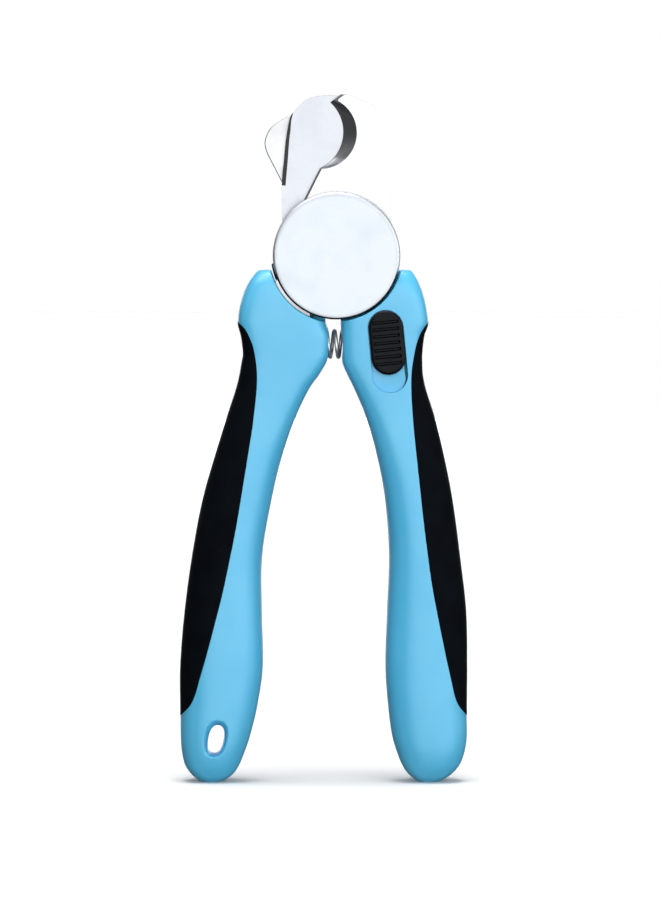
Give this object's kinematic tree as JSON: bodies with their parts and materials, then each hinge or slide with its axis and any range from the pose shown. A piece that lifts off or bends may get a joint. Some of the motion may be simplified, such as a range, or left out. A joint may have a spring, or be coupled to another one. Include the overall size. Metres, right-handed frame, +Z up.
{
  "type": "plier-type pet nail clipper",
  "caption": "Plier-type nail clipper for dogs: crossed notched blades on a pivot, a swinging guard, soft-grip handles with a return spring and a sliding lock.",
  "frame": {"origin": "on the floor in the middle of the footprint, under the closed clipper standing on its two handle ends", "axes": "+X to the right seen from the front, +Y to the back along the pivot, +Z up towards the jaws"},
  "size_m": [0.0667, 0.015, 0.16],
  "materials": {
    "blade_steel": "satin ground stainless steel",
    "guard_steel": "satin stamped stainless steel",
    "disc_steel": "satin, with a rounded rim",
    "hardware_steel": "zinc plated",
    "spring_wire": "bright drawn wire",
    "blue_plastic": "light sky blue, fine satin texture",
    "grip_rubber": "soft matte black",
    "lock_plastic": "black, ribbed",
    "core_plastic": "glass-filled nylon",
    "nylon": "natural nylon"
  },
  "bodies": {
    "right_handle": {"rear_blade": "blade_steel", "cover_disc": "disc_steel", "pivot_screw": "hardware_steel", "pivot_nut": "hardware_steel", "guard_washer": "nylon", "spring_washer": "hardware_steel", "right_core": "core_plastic", "right_cover": "blue_plastic", "right_grip": "grip_rubber", "right_spring_seat": "hardware_steel", "return_spring": "spring_wire", "lock_detent_spring": "hardware_steel"},
    "left_handle": {"front_blade": "blade_steel", "left_core": "core_plastic", "left_cover": "blue_plastic", "left_grip": "grip_rubber", "left_spring_seat": "hardware_steel"},
    "guard": {"safety_guard": "guard_steel"},
    "lock": {"lock_button": "lock_plastic", "lock_bolt": "hardware_steel"}
  },
  "joints": [
    {"name": "handle_pivot", "type": "hinge", "parent": "right_handle", "child": "left_handle", "pos_m": [0.00295, 0, 0.1228], "axis": [0, 1, 0], "range_deg": [0, 30], "deforming": ["return_spring"]},
    {"name": "guard_swing", "type": "hinge", "parent": "right_handle", "child": "guard", "pos_m": [0.00295, 0, 0.1228], "axis": [0, 1, 0], "range_deg": [0, 30]},
    {"name": "lock_slide", "type": "slide", "parent": "right_handle", "child": "lock", "axis": [0.0958, 0, -0.9954], "range_m": [0, 0.004]}
  ]
}
